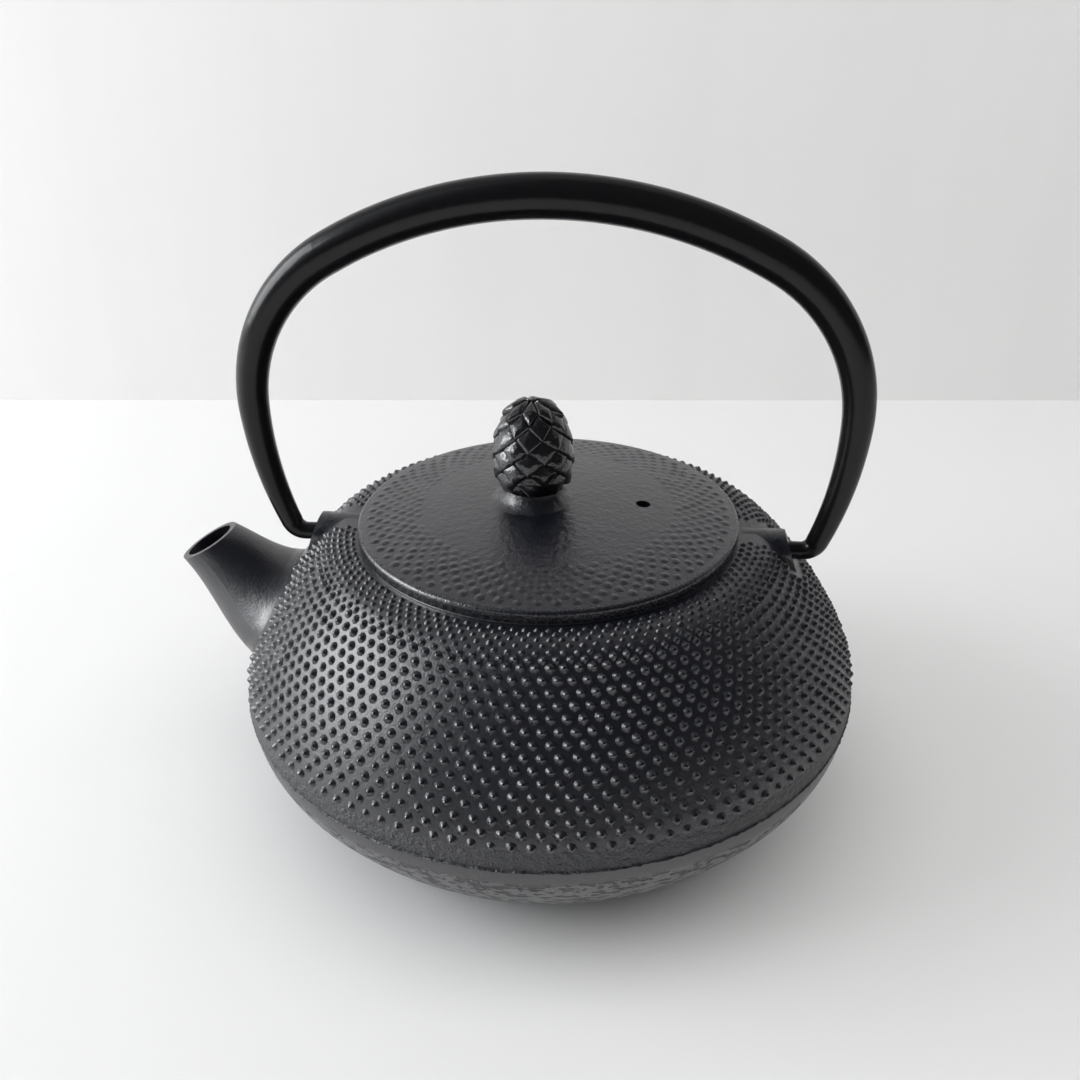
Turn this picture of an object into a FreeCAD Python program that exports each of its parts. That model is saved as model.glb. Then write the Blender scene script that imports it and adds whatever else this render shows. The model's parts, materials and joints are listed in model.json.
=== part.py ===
import FreeCAD, Part
import math
import os
import re
import Sketcher

# Cast iron teapot with a side spout, arched handle, lifting lid and removable tea strainer.
# Frame: +Z up, origin at the centre of the base on the pot's axis, spout along +X.

# Driving sizes in millimetres, angles in degrees
SIZES = {
    # Pot shell, a body of tangent arcs turned about the pot's axis
    "belly_radius": 72.0,
    "belly_height": 32.0,
    "belly_round": 19.0,
    "shoulder_curve": 84.0,
    "shoulder_turn": 25.6,
    "flank_curve": 60.0,
    "flank_turn": 31.9,
    "mouth_height": 67.6,
    "mouth_radius": 37.0,
    "mouth_round": 7.0,
    "base_round": 2.0,
    "wall": 4.0,
    "floor_thickness": 4.5,
    # Spout sections from the root to the lip: reach past the belly, rise over the belly,
    # tilt of the section's normal from upright, half height, and how much wider than high
    "root_reach": -9.0,
    "root_rise": 10.7,
    "root_tilt": 66.0,
    "root_half": 14.5,
    "root_spread": 4.8,
    "flare_reach": -1.4,
    "flare_rise": 13.6,
    "flare_tilt": 53.0,
    "flare_half": 11.8,
    "flare_spread": 2.2,
    "neck_reach": 3.8,
    "neck_rise": 19.2,
    "neck_tilt": 43.5,
    "neck_half": 9.8,
    "neck_spread": 0.2,
    "lip_reach": 10.8,
    "lip_rise": 27.3,
    "lip_tilt": 28.0,
    "lip_half": 7.3,
    "lip_spread": 0.1,
    "spout_root_wall": 3.2,
    "spout_lip_wall": 1.5,
    # Ears that carry the handle's pins
    "pivot_drop": 4.5,
    "ear_stand": 6.4,
    "ear_radius": 5.0,
    "ear_depth": 7.0,
    "ear_length": 9.7,
    "ear_slant": 20.0,
    "pin_depth": 3.8,
    "pin_clearance": 0.06,
    "pin_end_gap": 0.3,
    # Handle, a tapered bar of tangent arcs from pin to pin
    "pin_radius": 2.05,
    "pin_neck": 2.3,
    "handle_bend": 3.5,
    "arm_lean": 20.0,
    "arm_curve": 84.0,
    "arch_curve": 39.0,
    "crown_turn": 29.0,
    "arm_foot_radius": 2.5,
    "arm_radius": 3.4,
    "arch_radius": 4.35,
    "crown_radius": 4.5,
    # Strainer
    "seat_gap": 0.1,
    "sheet_thickness": 0.5,
    "flange_setback": 0.3,
    "collar_clearance": 0.6,
    "collar_depth": 10.0,
    "mesh_thickness": 0.4,
    "mesh_overlap": 3.8,
    "mesh_height": 26.5,
    "weld_gap": 0.1,
    "hoop_height": 4.0,
    "hoop_lip": 3.0,
    # Lid
    "lid_radius": 43.3,
    "lid_edge": 2.4,
    "lid_rise": 3.6,
    "lid_edge_round": 0.9,
    "lid_thickness": 3.2,
    "lid_flat_radius": 14.0,
    "spigot_clearance": 0.6,
    "spigot_thickness": 3.0,
    "spigot_depth": 5.4,
    "vent_radius": 1.65,
    "vent_reach": 21.7,
    # Knob on the lid
    "knob_offset": 3.2,
    "boss_foot_radius": 10.5,
    "boss_radius": 6.7,
    "boss_height": 2.9,
    "boss_curve": 4.2,
    "knob_neck_radius": 6.0,
    "knob_radius": 7.4,
    "knob_drop": 7.5,
    "knob_rise": 12.3,
    "scale_thickness": 1.0,
    "scale_root": 1.4,
    "scale_half_height": 3.4,
    "scale_lift": 15.0,
    "scale_taper": 24.0,
    "tenon_radius": 2.5,
    "tenon_clearance": 0.1,
    "washer_radius": 5.5,
    "washer_thickness": 1.0,
    "peen_radius": 3.8,
    "peen_height": 1.2,
}

# Pattern of the pine cone: counts, shares of the cone's height, and of a row's round
SCALES_PER_ROW = 8
SCALE_ROWS = 7
FIRST_ROW = 0.19
LAST_ROW = 0.90
SCALE_FILL = 0.97
CORE_STEPS = (0.5, 0.8)

# Length by which a cutting tool runs past the face that it opens
OVERCUT = 3.0

doc = FreeCAD.newDocument("teapot")
sheet = doc.addObject("Spreadsheet::Sheet", "Sizes")
for row, (alias, size) in enumerate(SIZES.items(), start=1):
    sheet.set(f"A{row}", alias)
    sheet.set(f"B{row}", str(size))
    sheet.setAlias(f"B{row}", alias)
doc.recompute()


# Expressions on the sheet

def qualified(text):
    """Write an expression on plain size names as one on the sheet's cells."""
    def cell(match):
        word = match.group(0)
        return f"Sizes.{word}" if word in SIZES else word
    return re.sub(r"[a-z_]+", cell, text)


def value(text):
    """Present number of an expression."""
    return float(sheet.evalExpression(qualified(text)))


def bind(target, path, text):
    """Tie a property of an object to an expression on the sheet."""
    target.setExpression(path, qualified(text))


# Bodies and sketches

def new_body(name):
    body = doc.addObject("PartDesign::Body", name)
    body.Label = name
    return body


def origin_plane(body, role):
    return next(item for item in body.Origin.OriginFeatures if item.Role == role)


def sketch_in(body, name, plane="XZ_Plane", base=("0", "0", "0"), tilt=None, axis=(0, 1, 0)):
    """Sketch on a plane, moved to base and tilted about an axis of that plane."""
    sketch = body.newObject("Sketcher::SketchObject", name)
    support = origin_plane(body, plane) if isinstance(plane, str) else plane
    sketch.AttachmentSupport = (support, "")
    sketch.MapMode = "FlatFace"
    angle = value(tilt) if tilt else 0.0
    turn = FreeCAD.Rotation(FreeCAD.Vector(*axis), angle)
    start = FreeCAD.Vector(*(value(text) for text in base))
    sketch.AttachmentOffset = FreeCAD.Placement(start, turn)
    for letter, text in zip("xyz", base):
        if text != "0":
            bind(sketch, f"AttachmentOffset.Base.{letter}", text)
    if tilt:
        bind(sketch, "AttachmentOffset.Rotation.Angle", tilt)
    return sketch


def dimension(sketch, kind, items, text):
    """Add a dimension that follows an expression."""
    index = sketch.addConstraint(Sketcher.Constraint(kind, *items, value(text)))
    bind(sketch, f"Constraints[{index}]", text)


def pin_point(sketch, curve, end, point):
    """Hold an end of a curve at a point given by two expressions."""
    for kind, axis, text in zip(("DistanceX", "DistanceY"), (-2, -1), point):
        if text == "0":
            sketch.addConstraint(Sketcher.Constraint("PointOnObject", curve, end, axis))
        else:
            dimension(sketch, kind, (-1, 1, curve, end), text)


def arc_between(first, last, radius, turn):
    """Arc from one point to another, to the left when turn is 1, to the right when it is -1."""
    chord = last - first
    middle = (first + last) * 0.5
    reach = math.sqrt(max(radius ** 2 - (chord.Length / 2) ** 2, 0.0))
    left = FreeCAD.Vector(-chord.y, chord.x, 0).normalize()
    centre = middle + left * (reach * turn)
    begin, end = (first, last) if turn > 0 else (last, first)
    angles = [math.atan2(p.y - centre.y, p.x - centre.x) for p in (begin, end)]
    circle = Part.Circle(centre, FreeCAD.Vector(0, 0, 1), radius)
    return Part.ArcOfCircle(circle, *angles)


def outline(sketch, start, steps, closed=True):
    """Draw a chain of lines and arcs. A step is (x, y) or (x, y, arc radius, turn)."""
    points = [start] + [step[:2] for step in steps]
    places = [FreeCAD.Vector(value(x), value(y), 0) for x, y in points]
    previous = None
    first_end = None
    for number, step in enumerate(steps):
        back = closed and number == len(steps) - 1
        if len(step) == 4:
            radius, turn = step[2], step[3]
            curve = arc_between(places[number], places[number + 1], value(radius), turn)
            ends = (1, 2) if turn > 0 else (2, 1)
        else:
            radius = None
            curve = Part.LineSegment(places[number], places[number + 1])
            ends = (1, 2)
        index = sketch.addGeometry(curve, False)
        if previous:
            sketch.addConstraint(Sketcher.Constraint("Coincident", *previous, index, ends[0]))
        else:
            first_end = (index, ends[0])
            pin_point(sketch, index, ends[0], start)
        if back:
            sketch.addConstraint(Sketcher.Constraint("Coincident", index, ends[1], *first_end))
        else:
            pin_point(sketch, index, ends[1], points[number + 1])
        if radius:
            dimension(sketch, "Radius", (index,), radius)
        previous = (index, ends[1])


def circle_sketch(sketch, radius, centre=("0", "0")):
    """One circle in a sketch."""
    place = FreeCAD.Vector(value(centre[0]), value(centre[1]), 0)
    index = sketch.addGeometry(Part.Circle(place, FreeCAD.Vector(0, 0, 1), value(radius)), False)
    pin_point(sketch, index, 3, centre)
    dimension(sketch, "Radius", (index,), radius)


def ellipse_sketch(sketch, half_height, half_width):
    """Ellipse about the sketch's origin, wider along its second axis than high along its first."""
    middle = FreeCAD.Vector(0, 0, 0)
    side = FreeCAD.Vector(0, value(half_width), 0)
    top = FreeCAD.Vector(value(half_height), 0, 0)
    index = sketch.addGeometry(Part.Ellipse(side, top, middle), False)
    sketch.exposeInternalGeometry(index)
    sketch.addConstraint(Sketcher.Constraint("Coincident", index, 3, -1, 1))
    sketch.addConstraint(Sketcher.Constraint("Vertical", index + 1))
    dimension(sketch, "Distance", (index + 1,), f"2 * ({half_width})")
    dimension(sketch, "Distance", (index + 2,), f"2 * ({half_height})")


# Features

def turned(body, name, sketch, kind="Revolution"):
    """Solid or groove turned about the upright axis of its sketch."""
    feature = body.newObject(f"PartDesign::{kind}", name)
    feature.Profile = sketch
    feature.ReferenceAxis = (sketch, ["V_Axis"])
    feature.Angle = 360
    doc.recompute()
    return feature


def lofted(body, name, sketches, kind):
    feature = body.newObject(f"PartDesign::{kind}", name)
    feature.Profile = sketches[0]
    feature.Sections = sketches[1:]
    doc.recompute()
    return feature


def rounded(body, name, base, radius, chosen):
    """Fillet on the edges of base that the chosen test picks."""
    names = [f"Edge{i}" for i, edge in enumerate(base.Shape.Edges, start=1) if chosen(edge)]
    feature = body.newObject("PartDesign::Fillet", name)
    feature.Base = (base, names)
    bind(feature, "Radius", radius)
    doc.recompute()
    return feature


def is_ring(edge, radius, height):
    """True for a full circle about the upright axis at this radius and height."""
    if edge.Degenerated or not isinstance(edge.Curve, Part.Circle):
        return False
    curve = edge.Curve
    off = abs(curve.Center.z - height) + abs(curve.Radius - radius)
    return off < 1e-4


# Pot shell in expressions

BELLY_X = "(belly_radius - belly_round)"
SHOULDER_X = f"({BELLY_X} - (shoulder_curve - belly_round) * cos(shoulder_turn))"
SHOULDER_Z = "(belly_height - (shoulder_curve - belly_round) * sin(shoulder_turn))"
FLANK_X = f"({BELLY_X} - (flank_curve - belly_round) * cos(flank_turn))"
FLANK_Z = "(belly_height + (flank_curve - belly_round) * sin(flank_turn))"


def shoulder_at(height, inset="0"):
    """Radius of the shoulder at a height, set in from the outer skin."""
    return f"({SHOULDER_X} + sqrt((shoulder_curve - {inset})^2 - ({height} - {SHOULDER_Z})^2))"


def flank_at(height, inset="0"):
    """Radius of the lower flank at a height, set in from the outer skin."""
    return f"({FLANK_X} + sqrt((flank_curve - {inset})^2 - ({height} - {FLANK_Z})^2))"


def shell_arcs(inset, top):
    """Steps of the shell's side, from the end of its floor up to a height on the shoulder."""
    round_in = f"(belly_round - {inset})"
    low = (f"{BELLY_X} + {round_in} * cos(flank_turn)", f"belly_height - {round_in} * sin(flank_turn)")
    high = (f"{BELLY_X} + {round_in} * cos(shoulder_turn)",
            f"belly_height + {round_in} * sin(shoulder_turn)")
    return [
        (*low, f"flank_curve - {inset}", 1),
        (*high, round_in, 1),
        (shoulder_at(top, inset), top, f"shoulder_curve - {inset}", 1),
    ]


PIVOT_Z = "(mouth_height - pivot_drop)"
EAR_X = f"({shoulder_at('mouth_height')} + ear_stand)"
PIN_FLOOR_X = f"({EAR_X} - pin_depth)"

# Strainer, lid and knob heights, each from the seat that carries it
RIM_LOW = "(mouth_height + seat_gap)"
RIM_TOP = f"({RIM_LOW} + sheet_thickness)"
FLANGE_OUT = "(lid_radius - flange_setback)"
COLLAR_OUT = "(mouth_radius - collar_clearance)"
COLLAR_IN = f"({COLLAR_OUT} - sheet_thickness)"
COLLAR_LOW = f"({RIM_LOW} - collar_depth)"
MESH_OUT = f"({COLLAR_IN} - weld_gap)"
MESH_IN = f"({MESH_OUT} - mesh_thickness)"
MESH_TOP = f"({COLLAR_LOW} + mesh_overlap)"
MESH_LOW = f"({MESH_TOP} - mesh_height)"
FLOOR_LOW = f"({MESH_LOW} - weld_gap - mesh_thickness)"
HOOP_LOW = f"({FLOOR_LOW} - weld_gap - sheet_thickness)"
LID_LOW = f"({RIM_TOP} + seat_gap)"
LID_EDGE_TOP = f"({LID_LOW} + lid_edge)"
LID_TOP = f"({LID_EDGE_TOP} + lid_rise)"
LID_UNDER = f"({LID_TOP} - lid_thickness)"
SPIGOT_OUT = f"({COLLAR_IN} - spigot_clearance)"
SPIGOT_IN = f"({SPIGOT_OUT} - spigot_thickness)"
DOME_CURVE = "((lid_radius^2 + lid_rise^2) / (2 * lid_rise))"
BOSS_TOP = f"({LID_TOP} + boss_height)"
KNOB_MIDDLE = f"({BOSS_TOP} + knob_drop)"
KNOB_TOP = f"({KNOB_MIDDLE} + knob_rise)"


# Pot body: shell, ears, spout

def spout_section(body, name, station, wall=None, shift="0"):
    """Ellipse of the spout at a station, thinned by the wall for the bore."""
    tilt = f"{station}_tilt"
    base = (f"belly_radius + {station}_reach + ({shift}) * sin({tilt})", "0",
            f"belly_height + {station}_rise + ({shift}) * cos({tilt})")
    sketch = sketch_in(body, name, "XY_Plane", base, tilt)
    inset = f" - ({wall})" if wall else ""
    half = f"{station}_half{inset}"
    ellipse_sketch(sketch, half, f"{half} + {station}_spread")
    return sketch


def add_ears(body):
    """Half-round lugs with a slanted outer face, drilled for the handle's pins."""
    face = sketch_in(body, "ear_face", "YZ_Plane", ("0", PIVOT_Z, EAR_X), "ear_slant", (-1, 0, 0))
    outline(face, ("ear_radius", "0"), [
        ("0", "ear_radius", "ear_radius", 1),
        ("-ear_radius", "0", "ear_radius", 1),
        ("-ear_radius", "-ear_depth"),
        ("ear_radius", "-ear_depth"),
        ("ear_radius", "0"),
    ])
    ear = body.newObject("PartDesign::Pad", "ear")
    ear.Profile = face
    ear.UseCustomVector = True
    ear.Direction = FreeCAD.Vector(-1, 0, 0)
    ear.AlongSketchNormal = False
    bind(ear, "Length", "ear_length")
    doc.recompute()
    drill = sketch_in(body, "pin_drill", "YZ_Plane", ("0", "0", PIN_FLOOR_X))
    circle_sketch(drill, "pin_radius + pin_clearance", ("0", PIVOT_Z))
    hole = body.newObject("PartDesign::Pocket", "pin_hole")
    hole.Profile = drill
    hole.Reversed = True
    bind(hole, "Length", f"pin_depth + ear_depth + {OVERCUT}")
    doc.recompute()
    pair = body.newObject("PartDesign::Mirrored", "ear_pair")
    pair.Originals = [ear, hole]
    pair.MirrorPlane = (origin_plane(body, "YZ_Plane"), [""])
    body.Tip = pair
    doc.recompute()


def make_pot_body():
    body = new_body("pot_body")
    skin = sketch_in(body, "skin_outline")
    outline(skin, ("0", "0"), [
        (flank_at("0"), "0"),
        *shell_arcs("0", "mouth_height"),
        ("0", "mouth_height"),
        ("0", "0"),
    ])
    shell = turned(body, "shell", skin)
    base_radius = value(flank_at("0"))
    mouth_edge = value(shoulder_at("mouth_height"))
    mouth_height = value("mouth_height")
    shell = rounded(body, "mouth_edge_round", shell, "mouth_round",
                    lambda edge: is_ring(edge, mouth_edge, mouth_height))
    rounded(body, "base_edge_round", shell, "base_round",
            lambda edge: is_ring(edge, base_radius, 0.0))
    add_ears(body)
    stations = ("root", "flare", "neck", "lip")
    lofted(body, "spout", [spout_section(body, f"spout_{s}", s) for s in stations], "AdditiveLoft")
    hollow = sketch_in(body, "hollow_outline")
    ceiling = "(mouth_height - wall)"
    rim = f"(mouth_height + {OVERCUT})"
    outline(hollow, ("0", "floor_thickness"), [
        (flank_at("floor_thickness", "wall"), "floor_thickness"),
        *shell_arcs("wall", ceiling),
        ("mouth_radius", ceiling),
        ("mouth_radius", rim),
        ("0", rim),
        ("0", "floor_thickness"),
    ])
    turned(body, "hollow", hollow, "Groove")
    walls = ("spout_root_wall", "(2 * spout_root_wall + spout_lip_wall) / 3",
             "(spout_root_wall + 2 * spout_lip_wall) / 3", "spout_lip_wall")
    bore = [spout_section(body, "bore_start", "root", walls[0], "-2 * wall")]
    bore += [spout_section(body, f"bore_{s}", s, w) for s, w in zip(stations, walls)]
    bore.append(spout_section(body, "bore_end", "lip", walls[-1], f"{OVERCUT}"))
    lofted(body, "spout_bore", bore, "SubtractiveLoft")
    return body


# Handle

def make_handle():
    body = new_body("handle")
    bend_x = f"({EAR_X} + pin_neck)"
    foot_x = f"({bend_x} + handle_bend * cos(arm_lean))"
    foot_z = f"({PIVOT_Z} + handle_bend * (1 - sin(arm_lean)))"
    side_x = f"({foot_x} + arm_curve * (1 - cos(arm_lean)))"
    side_z = f"({foot_z} + arm_curve * sin(arm_lean))"
    arch_x = f"({side_x} - arch_curve * (1 - sin(crown_turn)))"
    arch_z = f"({side_z} + arch_curve * cos(crown_turn))"
    crown_curve = f"({arch_x} / sin(crown_turn))"
    crown_z = f"({arch_z} + {crown_curve} * (1 - cos(crown_turn)))"
    start_x = f"({PIN_FLOOR_X} + pin_end_gap)"
    path = sketch_in(body, "handle_path")
    outline(path, (start_x, PIVOT_Z), [
        (bend_x, PIVOT_Z),
        (foot_x, foot_z, "handle_bend", 1),
        (side_x, side_z, "arm_curve", 1),
        (arch_x, arch_z, "arch_curve", 1),
        ("0", crown_z, crown_curve, 1),
    ], closed=False)
    stations = [
        ("pin_end", start_x, PIVOT_Z, "90", "pin_radius"),
        ("pin_bend", bend_x, PIVOT_Z, "90", "pin_radius"),
        ("arm_foot", foot_x, foot_z, "arm_lean", "arm_foot_radius"),
        ("arm_side", side_x, side_z, "0", "arm_radius"),
        ("arch_end", arch_x, arch_z, "crown_turn - 90", "arch_radius"),
        ("crown", "0", crown_z, "-90", "crown_radius"),
    ]
    rings = []
    for name, x, z, tilt, radius in stations:
        ring = sketch_in(body, f"{name}_ring", "XY_Plane", (x, "0", z), tilt)
        circle_sketch(ring, radius)
        rings.append(ring)
    spans = []
    for number, (first, last) in enumerate(zip(rings, rings[1:]), start=1):
        span = body.newObject("PartDesign::AdditivePipe", f"handle_span_{number}")
        span.Profile = first
        span.Spine = (path, [f"Edge{number}"])
        span.Transformation = "Multisection"
        span.Sections = [last]
        doc.recompute()
        spans.append(span)
    whole = body.newObject("PartDesign::Mirrored", "handle_whole")
    whole.Originals = spans
    whole.MirrorPlane = (origin_plane(body, "YZ_Plane"), [""])
    body.Tip = whole
    doc.recompute()
    return body


# Strainer

def make_ring(name, start, steps):
    """Body turned from one closed outline of radius and height."""
    body = new_body(name)
    sketch = sketch_in(body, f"{name}_outline")
    outline(sketch, start, [*steps, start])
    turned(body, f"{name}_turned", sketch)
    return body


def make_strainer():
    rim = make_ring("strainer_rim", (COLLAR_IN, COLLAR_LOW), [
        (COLLAR_OUT, COLLAR_LOW),
        (COLLAR_OUT, RIM_LOW),
        (FLANGE_OUT, RIM_LOW),
        (FLANGE_OUT, RIM_TOP),
        (COLLAR_IN, RIM_TOP),
    ])
    side = make_ring("strainer_side_mesh", (MESH_IN, MESH_LOW), [
        (MESH_OUT, MESH_LOW),
        (MESH_OUT, MESH_TOP),
        (MESH_IN, MESH_TOP),
    ])
    floor_top = f"({FLOOR_LOW} + mesh_thickness)"
    floor = make_ring("strainer_floor_mesh", ("0", FLOOR_LOW), [
        (MESH_OUT, FLOOR_LOW),
        (MESH_OUT, floor_top),
        ("0", floor_top),
    ])
    inner = f"({MESH_OUT} + weld_gap)"
    outer = f"({inner} + sheet_thickness)"
    lip_top = f"({HOOP_LOW} + sheet_thickness)"
    hoop_top = f"({HOOP_LOW} + hoop_height)"
    hoop = make_ring("strainer_hoop", (f"{MESH_IN} - hoop_lip", HOOP_LOW), [
        (outer, HOOP_LOW),
        (outer, hoop_top),
        (inner, hoop_top),
        (inner, lip_top),
        (f"{MESH_IN} - hoop_lip", lip_top),
    ])
    return [rim, side, floor, hoop]


# Lid and its knob

def make_lid():
    body = new_body("lid")
    disc = sketch_in(body, "lid_outline")
    slope_low = f"({LID_EDGE_TOP} + lid_edge - lid_thickness)"
    spigot_low = f"({LID_LOW} - spigot_depth)"
    outline(disc, ("0", LID_UNDER), [
        ("lid_flat_radius", LID_UNDER),
        (SPIGOT_IN, slope_low),
        (SPIGOT_IN, spigot_low),
        (SPIGOT_OUT, spigot_low),
        (SPIGOT_OUT, LID_LOW),
        ("lid_radius", LID_LOW),
        ("lid_radius", LID_EDGE_TOP),
        ("0", LID_TOP, DOME_CURVE, 1),
        ("0", LID_UNDER),
    ])
    plate = turned(body, "lid_plate", disc)
    radius = value("lid_radius")
    edge_top = value(LID_EDGE_TOP)
    rounded(body, "lid_edge_rounded", plate, "lid_edge_round",
            lambda edge: is_ring(edge, radius, edge_top))
    boss = sketch_in(body, "boss_outline", base=("knob_offset", "0", "0"))
    foot = f"({LID_TOP} - lid_thickness / 2)"
    outline(boss, ("0", foot), [
        ("boss_foot_radius", foot),
        ("boss_foot_radius", f"{LID_TOP} - boss_foot_radius^2 / {DOME_CURVE}"),
        ("boss_radius", BOSS_TOP, "boss_curve", -1),
        ("0", BOSS_TOP),
        ("0", foot),
    ])
    turned(body, "boss", boss)
    holes = sketch_in(body, "hole_layout", "XY_Plane", ("0", "0", LID_LOW))
    circle_sketch(holes, "tenon_radius + tenon_clearance", ("knob_offset", "0"))
    circle_sketch(holes, "vent_radius", ("-vent_reach", "0"))
    drilled = body.newObject("PartDesign::Pocket", "holes")
    drilled.Profile = holes
    drilled.Reversed = True
    bind(drilled, "Length", f"{BOSS_TOP} - {LID_LOW} + {OVERCUT}")
    doc.recompute()
    return body


def make_washer():
    washer = doc.addObject("Part::Cut", "knob_washer")
    disc = doc.addObject("Part::Cylinder", "washer_disc")
    hole = doc.addObject("Part::Cylinder", "washer_hole")
    bind(disc, "Radius", "washer_radius")
    bind(hole, "Radius", "tenon_radius + tenon_clearance")
    for solid in (disc, hole):
        bind(solid, "Height", "washer_thickness")
        bind(solid, "Placement.Base.x", "knob_offset")
        bind(solid, "Placement.Base.z", f"{LID_UNDER} - washer_thickness")
    washer.Base = disc
    washer.Tool = hole
    washer.Label = "knob_washer"
    doc.recompute()
    return washer


# Radius of the pine cone over and under its widest height, as arcs that stand upright there
CROWN_CURVE = "((knob_radius^2 + knob_rise^2) / (2 * knob_radius))"
FOOT_STEP = "(knob_radius - knob_neck_radius)"
FOOT_CURVE = f"(({FOOT_STEP}^2 + knob_drop^2) / (2 * {FOOT_STEP}))"


def cone_at(over, curve):
    """Radius of the cone at a height over its widest ring."""
    return f"(knob_radius - {curve} + sqrt({curve}^2 - {over}^2))"


def add_scale_row(body, row, plane):
    """One turn of overlapping diamond scales, each with its lower tip lifted off the cone."""
    share = FIRST_ROW + (LAST_ROW - FIRST_ROW) * row / (SCALE_ROWS - 1)
    height = f"({BOSS_TOP} + {share:.4f} * (knob_drop + knob_rise))"
    over = f"({height} - {KNOB_MIDDLE})"
    curve = CROWN_CURVE if value(over) >= 0 else FOOT_CURVE
    radius = cone_at(over, curve)
    lift = f"(asin({over} / {curve}) / 1 deg + scale_lift)"
    base = (f"({radius} - scale_root * cos({lift}))", "0", f"({height} - scale_root * sin({lift}))")
    sketch = sketch_in(body, f"scale_{row}_outline", plane, base, f"90 - {lift}")
    half_width = f"({SCALE_FILL} * tan(180 / {SCALES_PER_ROW}) * ({radius} + scale_thickness / 2))"
    outline(sketch, ("scale_half_height", "0"), [
        ("0", half_width),
        ("-scale_half_height", "0"),
        ("0", f"-{half_width}"),
        ("scale_half_height", "0"),
    ])
    pad = body.newObject("PartDesign::Pad", f"scale_{row}")
    pad.Profile = sketch
    bind(pad, "Length", "scale_root + scale_thickness")
    bind(pad, "TaperAngle", "-scale_taper")
    pad.Refine = False
    doc.recompute()
    ring = body.newObject("PartDesign::PolarPattern", f"scale_row_{row}")
    ring.Originals = [pad]
    ring.Axis = (origin_plane(body, "Z_Axis"), [""])
    ring.Angle = 360
    ring.Occurrences = SCALES_PER_ROW
    ring.Refine = False
    body.Tip = ring
    doc.recompute()


def make_knob():
    body = new_body("lid_knob")
    bind(body, "Placement.Base.x", "knob_offset")
    peen_top = f"({LID_UNDER} - washer_thickness)"
    peen_low = f"({peen_top} - peen_height)"
    core = sketch_in(body, "core_outline")
    cone = [(cone_at(f"({share} * knob_rise)", CROWN_CURVE), f"{KNOB_MIDDLE} + {share} * knob_rise")
            for share in CORE_STEPS]
    outline(core, ("0", peen_low), [
        ("peen_radius", peen_low),
        ("peen_radius", peen_top),
        ("tenon_radius", peen_top),
        ("tenon_radius", BOSS_TOP),
        ("knob_neck_radius", BOSS_TOP),
        ("knob_radius", KNOB_MIDDLE),
        *cone,
        ("0", KNOB_TOP),
        ("0", peen_low),
    ])
    turned(body, "core", core)
    between = body.newObject("PartDesign::Plane", "half_pitch_plane")
    between.AttachmentSupport = (origin_plane(body, "XY_Plane"), "")
    between.MapMode = "FlatFace"
    half_pitch = FreeCAD.Rotation(FreeCAD.Vector(0, 0, 1), 180 / SCALES_PER_ROW)
    between.AttachmentOffset = FreeCAD.Placement(FreeCAD.Vector(0, 0, 0), half_pitch)
    for row in range(SCALE_ROWS):
        add_scale_row(body, row, between if row % 2 else "XY_Plane")
    return body


def main():
    nodes = [make_pot_body(), make_handle(), *make_strainer(), make_lid(), make_washer(), make_knob()]
    doc.recompute()
    failed = [item.Name for item in doc.Objects if {"Invalid", "Error"} & set(item.State)]
    if failed:
        raise RuntimeError(f"features failed: {failed}")
    for node in nodes:
        shape = node.Shape
        if shape.isNull() or not shape.isValid() or len(shape.Solids) != 1:
            raise RuntimeError(f"{node.Label} is not one valid solid")
    os.makedirs("parts", exist_ok=True)
    for node in nodes:
        node.Shape.exportStep(f"parts/{node.Label}.step")
        print(node.Label, round(node.Shape.Volume, 1), len(node.Shape.Faces), node.Shape.BoundBox)


main()
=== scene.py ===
import json
import math

import bmesh
import bpy
from bpy.props import FloatProperty, FloatVectorProperty, IntProperty, PointerProperty
from bpy.types import Operator, Panel, PropertyGroup
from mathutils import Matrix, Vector

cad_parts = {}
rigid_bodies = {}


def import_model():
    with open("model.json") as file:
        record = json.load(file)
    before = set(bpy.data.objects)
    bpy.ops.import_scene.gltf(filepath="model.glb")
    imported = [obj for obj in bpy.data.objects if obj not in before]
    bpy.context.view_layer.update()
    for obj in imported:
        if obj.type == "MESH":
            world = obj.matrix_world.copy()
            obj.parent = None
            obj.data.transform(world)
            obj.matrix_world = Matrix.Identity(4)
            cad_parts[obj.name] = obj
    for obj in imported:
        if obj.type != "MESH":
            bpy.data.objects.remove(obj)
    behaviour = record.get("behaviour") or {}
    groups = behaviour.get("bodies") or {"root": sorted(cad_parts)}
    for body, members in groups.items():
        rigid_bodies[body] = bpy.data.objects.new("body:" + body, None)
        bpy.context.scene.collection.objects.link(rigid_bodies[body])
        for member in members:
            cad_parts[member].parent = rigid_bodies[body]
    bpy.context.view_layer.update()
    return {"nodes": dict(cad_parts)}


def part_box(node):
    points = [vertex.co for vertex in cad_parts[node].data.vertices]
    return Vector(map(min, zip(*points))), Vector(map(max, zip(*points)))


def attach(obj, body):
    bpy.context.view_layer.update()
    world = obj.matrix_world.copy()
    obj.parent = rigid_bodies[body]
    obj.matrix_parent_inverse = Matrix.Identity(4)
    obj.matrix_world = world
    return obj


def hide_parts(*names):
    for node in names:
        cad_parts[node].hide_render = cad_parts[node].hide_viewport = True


bl_info = {
    "name": "Cast Iron Teapot",
    "version": (1, 0, 0),
    "blender": (4, 5, 0),
    "location": "View3D > Sidebar > Teapot",
    "description": "Gives the teapot its cast pattern, pine cone, strainer mesh, finishes and stage",
    "category": "Object",
}

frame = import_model()
KNOB_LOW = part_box("lid_knob")[0]
KNOB_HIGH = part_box("lid_knob")[1]
SIDE_LOW, SIDE_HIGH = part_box("strainer_side_mesh")
FLOOR_LOW, FLOOR_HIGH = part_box("strainer_floor_mesh")

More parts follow.
